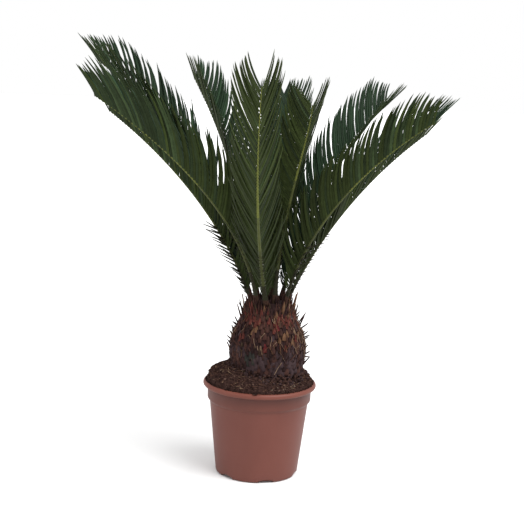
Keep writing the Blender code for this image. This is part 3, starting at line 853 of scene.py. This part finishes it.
def add_spike(pile, foot, along, length, radius, tone, bend=Vector((0, 0, 0)), taper=0.75):
    """A thin round spike drawn to a point."""
    across = along.cross(Vector((0.3, 0.2, 0.9))).normalized()
    other = along.cross(across).normalized()
    sides, rows = 5, 4
    points = []
    for i in range(rows):
        share = i / rows
        middle = foot + along * length * share + bend * share * share
        for turn in ring_bearings(sides):
            points.append(middle + turned(across, other, turn) * radius * (1 - share * taper))
    points.append(foot + along * length + bend)
    last, point = (rows - 1) * sides, rows * sides
    faces = tube_faces(sides, rows - 1, closed=False)
    faces += [(last + k, last + (k + 1) % sides, point) for k in range(sides)]
    faces.append(tuple(range(sides - 1, -1, -1)))
    pile.add(points, faces, tone)


# Spines seen at the trunk's edges: bearing and height of the foot, rise above level, length
SIDE_SPINES = (
    (2, 0.337, 80, 0.027), (4, 0.320, 60, 0.029), (364, 0.309, 38, 0.021), (357, 0.292, 24, 0.016),
    (354, 0.288, 36, 0.012), (355, 0.252, 4, 0.012), (359, 0.232, 54, 0.026), (1, 0.330, 62, 0.012),
    (357, 0.300, 50, 0.009), (356, 0.275, 40, 0.008), (175, 0.329, 70, 0.029), (179, 0.338, 77, 0.030),
    (176, 0.312, 35, 0.012), (178, 0.299, 70, 0.015), (180, 0.281, 42, 0.013), (180, 0.262, 58, 0.018),
    (182, 0.344, 60, 0.020), (180, 0.290, 60, 0.013), (181, 0.272, 50, 0.013), (183, 0.318, 65, 0.017),
    (2, 0.315, 70, 0.023), (358, 0.296, 45, 0.015), (356, 0.268, 50, 0.013), (357, 0.256, 30, 0.015),
)


def build_spines(materials, chooser):
    """Thin stubs of old stalks, some at the trunk's left and right edges and the rest all round."""
    pile = Pile()
    places = list(SIDE_SPINES)
    for i in range(ROUND_SPINES):
        bearing = i * 222.5 + 20
        if min(bearing % 180, 180 - bearing % 180) > 14:
            places.append((bearing, 0.236 + 0.100 * ((i * 0.381) % 1.0), chooser.uniform(35, 68),
                           chooser.uniform(0.007, 0.016)))
    for bearing, height, angle, length in places:
        turn = math.radians(bearing)
        foot, _, _, around = trunk_frame(height, turn)
        outward, _ = directions(turn)
        rise = math.radians(angle)
        along = (turned(outward, UP, rise) + around * chooser.uniform(-0.15, 0.15)).normalized()
        bend = outward * length * chooser.uniform(-0.1, 0.12)
        add_spike(pile, foot - along * SPINE_SUNK, along, length * SPINE_GROWTH + SPINE_SUNK,
                  SPINE_RADIUS, chooser.choice((0, 0, 1)), bend, 0.5)
    pile.place("trunk_spines", materials, "trunk", "bark")


def build_hairs(materials, chooser):
    """Short stiff hairs that fray the scales' edges all over."""
    hairs = Pile()
    for _ in range(HAIR_COUNT):
        height = chooser.uniform(0.232, 0.352)
        turn = chooser.uniform(0, math.tau)
        foot, normal, up, around = trunk_frame(height, turn)
        along = (up + normal * chooser.uniform(0.15, 0.9) + around * chooser.gauss(0, 0.35)).normalized()
        length = chooser.uniform(0.004, 0.0105)
        tone = tone_at(height, turn, chooser) if chooser.random() < 0.6 else chooser.choice((0, 1, 3, 8))
        add_spike(hairs, foot + normal * 0.0005, along, length, chooser.uniform(0.0003, 0.0006), tone)
    hairs.place("trunk_hairs", materials, "trunk", "bark")


# Fibres seen in front: bearing and height of the top, bearing and height of the bottom, radius
FIBRES = (
    (281, 0.341, 286, 0.318, 0.0007),
    (286, 0.318, 290, 0.270, 0.0007),
    (291, 0.284, 325, 0.276, 0.0007),
    (291, 0.254, 281, 0.228, 0.0008),
)


def build_fibres(materials):
    """Loose straw-coloured fibres and wisps that lie on the trunk."""
    chooser = random.Random(17)
    pile = Pile()
    runs = list(FIBRES)
    for _ in range(LOOSE_FIBRES):
        bearing = chooser.gauss(325, 40) if chooser.random() < 0.55 else chooser.uniform(0, 360)
        height = chooser.uniform(0.270, 0.345)
        runs.append((bearing, height, bearing + chooser.uniform(-9, 9),
                     height - chooser.uniform(0.004, 0.020), chooser.uniform(0.0003, 0.0007)))
    sides, rows = 4, 7
    for first, top, last, bottom, radius in runs:
        points = []
        for i in range(rows + 1):
            share = i / rows
            height = top + (bottom - top) * share
            bearing = math.radians(first + (last - first) * share + 0.5 * math.sin(share * 7 + first))
            point, normal, _, around = trunk_frame(height, bearing)
            middle = point + normal * (0.0032 + 0.0006 * math.sin(share * 9))
            for turn in ring_bearings(sides):
                points.append(middle + turned(around, normal, turn) * radius)
        tone = chooser.choice((3, 5, 5)) if radius < 0.0008 else 5
        pile.add(points, tube_faces(sides, rows), tone)
    pile.place("trunk_fibres", materials, "trunk", "bark")


# Fronds

class Rib:
    """The curved midline of a frond, by the same rule as its solid."""

    STEPS = 240

    def __init__(self, bearing, swing, foot_lean, tip_lean, bend, turn, length, leaflet, foot_radius):
        self.length = length
        self.leaflet = leaflet
        self.turn = math.radians(turn)
        shares = (np.arange(self.STEPS) + 0.5) / self.STEPS
        leans = np.radians(foot_lean + (tip_lean - foot_lean) * shares ** bend)
        bearings = np.radians(bearing + swing * shares)
        outward = np.stack([np.cos(bearings), np.sin(bearings), np.zeros(self.STEPS)], axis=1)
        upward = np.array([0.0, 0.0, 1.0])
        tangents = outward * np.sin(leans)[:, None] + upward * np.cos(leans)[:, None]
        foot = np.array(trunk_point(foot_radius, math.radians(bearing), TRUNK_TOP + 0.0003))
        self.points = np.vstack([foot, foot + np.cumsum(tangents * length / self.STEPS, axis=0)])
        self.tangents = tangents
        self.uppers = upward * np.sin(leans)[:, None] - outward * np.cos(leans)[:, None]

    def frame(self, distance):
        place = min(max(distance / self.length, 0.0), 1.0) * self.STEPS
        low = min(int(place), self.STEPS - 1)
        point = Vector(self.points[low]).lerp(Vector(self.points[low + 1]), place - low)
        tangent = Vector(self.tangents[low]).normalized()
        upper = Vector(self.uppers[low])
        upper = (upper - tangent * upper.dot(tangent)).normalized()
        share = smooth_step(distance / self.length / TURN_SHARE)
        upper = turned(upper, tangent.cross(upper), self.turn * share)
        return point, tangent, upper, tangent.cross(upper)


def rib_size(share):
    taper = max(share, 0.0) ** RIB_TAPER
    return tuple(foot + (tip - foot) * taper for foot, tip in (RIB_WIDTH, RIB_DEPTH))


def build_rib(name, rib, materials):
    """The stalk: woolly at its foot, dark green above it, darkened as painted shade lower in the crown,
    and yellow-green along the leaflets.
    """
    pile = Pile()
    points = []
    for i in range(RIB_ROWS + 1):
        distance = -RIB_SUNK + (rib.length + RIB_SUNK) * i / RIB_ROWS
        point, tangent, upper, sideways = rib.frame(distance)
        if distance < 0:
            point = point + tangent * distance
        width, depth = rib_size(distance / rib.length)
        if i == RIB_ROWS:
            width, depth = width * 0.4, depth * 0.4
        swell = 1 + 0.40 * smooth_step(1 - distance / 0.055)
        for turn in ring_bearings(RIB_SIDES):
            across, deep = math.cos(turn), math.sin(turn)
            flat = 0.75 if deep > 0 else 1.0
            points.append(point + sideways * across * width / 2 * swell + upper * deep * flat * depth / 2)
    tones = []
    for i in range(RIB_ROWS):
        distance = -RIB_SUNK + (rib.length + RIB_SUNK) * (i + 0.5) / RIB_ROWS
        below, above = next(row[1:] for row in STALK_TONES if distance < row[0])
        for k in range(RIB_SIDES):
            tones.append(below if math.sin(math.tau * (k + 0.5) / RIB_SIDES) < 0.2 else above)
    tones += [0, 3]
    pile.add(points, tube_faces(RIB_SIDES, RIB_ROWS), tones)
    pile.place(name + "_stalk", materials, name, "foliage")


def build_thorns(name, rib, chooser, materials):
    """Short spines in two rows along the bare foot of the stalk, longer towards the leaflets."""
    pile = Pile()
    growth, pitch, last, radius = THORNS.get(name, USUAL_THORNS)
    distance = FIRST_THORN
    while distance < last:
        for side in (1, -1):
            at = distance + chooser.uniform(-0.002, 0.002)
            point, tangent, upper, sideways = rib.frame(at)
            width, _ = rib_size(at / rib.length)
            out = (sideways * side * 0.8 - upper * 0.6).normalized()
            along = (out + tangent * chooser.uniform(0.75, 1.15)).normalized()
            length = 0.006 + 0.008 * smooth_step((at - 0.02) / 0.08) * chooser.uniform(0.7, 1.2)
            add_spike(pile, point + out * width * 0.36, along, length * growth, radius, 1)
        distance += pitch * chooser.uniform(0.85, 1.15)
    pile.place(name + "_thorns", materials, name, "foliage")


def leaflet_length(rib, distance):
    share = distance / rib.length
    grown = smooth_step((distance - BARE_STEM) / (FULL_FROM - BARE_STEM))
    growth = THORN_SHARE + (1 - THORN_SHARE) * grown
    fallen = smooth_step((share - FALL_FROM) / (1 - FALL_FROM))
    return rib.leaflet * growth * (1 - (1 - TIP_SHARE) * fallen)


def leaflet_line(rib, distance, side, length, jitter):
    """Midline points of a leaflet, the way across its blade and the way out of its upper face.

    The jitter is added to its forward angle, its raise and its curl, in degrees.
    """
    point, tangent, upper, sideways = rib.frame(distance)
    share = distance / rib.length
    forward = math.radians(FORWARD + (FORWARD_AT_TIP - FORWARD) * share ** 2 + jitter[0])
    raised = math.radians(RAISED + jitter[1])
    across = turned(sideways * side, upper, raised)
    curl = math.radians(CURL + jitter[2])
    width, _ = rib_size(share)
    place = point + sideways * side * width * 0.32 + upper * width * 0.12
    line = []
    last = 0.0
    for part, _ in LEAFLET_ROWS + ((1.0, 0.0),):
        angle = forward - curl * ((part + last) - 0.5)
        place = place + turned(tangent, across, angle) * length * (part - last)
        line.append(place)
        last = part
    heading = turned(tangent, across, forward)
    along = (tangent - heading * tangent.dot(heading)).normalized()
    face = across.cross(tangent).normalized() * side
    if face.dot(upper) < 0:
        face = -face
    return line, along, face


def add_leaflet(pile, line, along, face, width, shade):
    """A narrow blade, ridged along the middle with its edges turned down; upper and lower faces differ."""
    points = []
    thick = face * LEAFLET_THICKNESS
    for place, (_, breadth) in zip(line, LEAFLET_ROWS):
        half = width * breadth / 2
        drop = face * (half * 0.35)
        near, far = place + along * half - drop, place - along * half - drop
        points += [near, place, far, near - thick, place - thick * 1.7, far - thick]
    points.append(line[-1])
    sides, last = len(LEAFLET_SIDES), len(LEAFLET_ROWS) - 1
    faces, tones = [], []
    for row in range(last + 1):
        low, high = row * sides, (row + 1) * sides
        for first, second, under in LEAFLET_SIDES:
            ends = (high + second, high + first) if row < last else (high,)
            faces.append((low + first, low + second) + ends)
            tones.append(shade * 2 + under)
    pile.add(points, faces, tones)


def tree_of(points):
    tree = KDTree(len(points))
    for i, point in enumerate(points):
        tree.insert(point, i)
    tree.balance()
    return tree


def leaflet_probes(line):
    """Points along a leaflet's outer part that are tested against the other fronds."""
    probes = [line[i].lerp(line[i + 1], part)
              for i in range(2, len(line) - 1) for part in (0.0, 0.34, 0.67)]
    return probes + [line[-1]]


def is_clear(probes, trees):
    return all(tree.find(probe)[2] > CLEARANCE for tree in trees for probe in probes)


def leaflet_shade(name, rib, distance, chooser):
    """Which shade a leaflet takes, darker near the foot as painted shade, the cool ones numbered after the
    warm ones.
    """
    shade = chooser.choice(next(shades for reach, shades in LEAFLET_SHADES_PAINTED_DARK_AT_FOOT if distance < reach))
    coolness = COOLNESS.get(name, USUAL_COOLNESS) * smooth_step((distance / rib.length - 0.2) / 0.5)
    return shade + SHADE_COUNT if chooser.random() < coolness else shade


def build_leaflets(name, rib, trees, chooser, materials):
    """Two combs of leaflets along the stalk, each as long as it can be clear of the other fronds."""
    pile = Pile()
    taken = []
    pairs = round((rib.length - BARE_STEM) / PAIR_PITCH)
    for pair in range(pairs):
        for side in (1, -1):
            part = (pair + 0.5 + 0.2 * side + chooser.uniform(-0.12, 0.12)) / pairs
            distance = BARE_STEM + (rib.length - BARE_STEM) * part ** PAIR_CROWDING
            distance = min(distance, rib.length - 0.0005)
            full = leaflet_length(rib, distance) * chooser.uniform(0.94, 1.02)
            looseness = 1 + FOOT_LOOSENESS * smooth_step((0.22 - distance) / 0.10)
            jitter = [chooser.gauss(0, spread) * looseness for spread in LEAFLET_SPREAD]
            shade = leaflet_shade(name, rib, distance, chooser)
            for portion in TRIES:
                length = full * portion
                line, along, face = leaflet_line(rib, distance, side, length, jitter)
                probes = leaflet_probes(line)
                if length < SHORTEST_TESTED or is_clear(probes, trees):
                    width = min(LEAFLET_WIDTH, 0.0014 + length * 0.052)
                    add_leaflet(pile, line, along, face, width, shade)
                    taken += probes
                    break
    pile.place(name + "_leaflets", materials, name, "foliage")
    return taken


def stalk_materials():
    """Wool at the foot, then the stalk's tones in the order that STALK_TONES numbers them."""
    return [
        grainy("stalk_wool", (0.018, 0.010, 0.007), (0.055, 0.028, 0.019), 260, 0.9, 0.0005, (1, 1, 0.3)),
        leaf_material("stalk_foot", (0.020, 0.020, 0.011), 0.50, 0.06),
        leaf_material("stalk_under", (0.100, 0.110, 0.024)),
        leaf_material("stalk_upper", (0.050, 0.062, 0.018), 0.45, 0.12),
        # Darkened as painted shade low in the crown
        leaf_material("stalk_low_painted_shade", (0.042, 0.047, 0.016)),
        leaf_material("stalk_mid", (0.056, 0.064, 0.019)),
    ]


def blade_materials():
    """An upper and a lower face for every shade, the warm ones first."""
    made = []
    for kind, (under, lightest) in LEAF_KINDS.items():
        # The last factor, 0.56, is the darkest shade: painted shade for leaflets near the foot
        for i, factor in enumerate((0.74, 0.98, lightest, 0.56)):
            ending = "%s_%d" % (kind, i)
            made.append(leaf_material("leaf_upper_" + ending, scaled(LEAF_UPPER, factor), 0.45, 0.06))
            made.append(leaf_material("leaf_under_" + ending, scaled(under, factor), 0.60, 0.05))
    return made


def build_crown():
    chooser = random.Random(29)
    ribs = {row[0]: Rib(*row[1:]) for row in FRONDS}
    rib_trees = {name: tree_of([Vector(p) for p in rib.points[::3]]) for name, rib in ribs.items()}
    stalk, blades = stalk_materials(), blade_materials()
    leaf_trees = {}
    for name, rib in ribs.items():
        build_rib(name, rib, stalk)
        build_thorns(name, rib, chooser, stalk)
        rivals = [tree for other, tree in rib_trees.items() if other != name] + list(leaf_trees.values())
        leaf_trees[name] = tree_of(build_leaflets(name, rib, rivals, chooser, blades))


# Stage, light and camera

def build_stage():
    """A wide pale floor under white light from all round, with two soft suns."""
    mesh = bpy.data.meshes.new("floor")
    mesh.from_pydata([polar(FLOOR_RADIUS, bearing) for bearing in ring_bearings(FLOOR_SIDES)], [],
                     [tuple(range(FLOOR_SIDES))])
    floor = add_object("floor", mesh)
    pale = Look("floor_pale", 0.9, 0.1)
    pale.shade("Base Color", (0.74, 0.74, 0.74, 1))
    mesh.materials.append(pale.material)
    floor.location.z = -0.0005
    world = bpy.data.worlds.new("studio")
    bpy.context.scene.world = world
    world.use_nodes = True
    back = world.node_tree.nodes["Background"]
    back.inputs["Color"].default_value = (1, 1, 1, 1)
    back.inputs["Strength"].default_value = 1.0
    add_sun("key", 3.4, 40, (32, 0, 55))
    add_sun("fill", 0.9, 90, (38, 0, -50))


def add_sun(name, strength, softness, turns):
    lamp = bpy.data.lights.new(name, "SUN")
    lamp.energy = strength
    lamp.angle = math.radians(softness)
    add_object(name, lamp).rotation_euler = [math.radians(turn) for turn in turns]


def build_camera():
    data = bpy.data.cameras.new("camera")
    data.sensor_width = 36
    data.lens = CAMERA_LENS
    camera = add_object("camera", data)
    camera.matrix_world = (Matrix.Translation(CAMERA_PLACE)
                           @ Matrix.Rotation(math.radians(90 - CAMERA_DOWN), 4, "X")
                           @ Matrix.Rotation(math.radians(CAMERA_ROLL), 4, "Z"))
    bpy.context.scene.camera = camera


def main():
    scene = bpy.context.scene
    scene.view_settings.view_transform = "Standard"
    build_pot()
    build_soil()
    build_crumbs()
    bark = bark_materials()
    build_trunk_core(bark)
    build_trunk_scales(bark)
    build_neck(bark)
    chooser = random.Random(3)
    build_spines(bark, chooser)
    build_hairs(bark, chooser)
    build_fibres(bark)
    build_crown()
    build_stage()
    build_camera()


main()
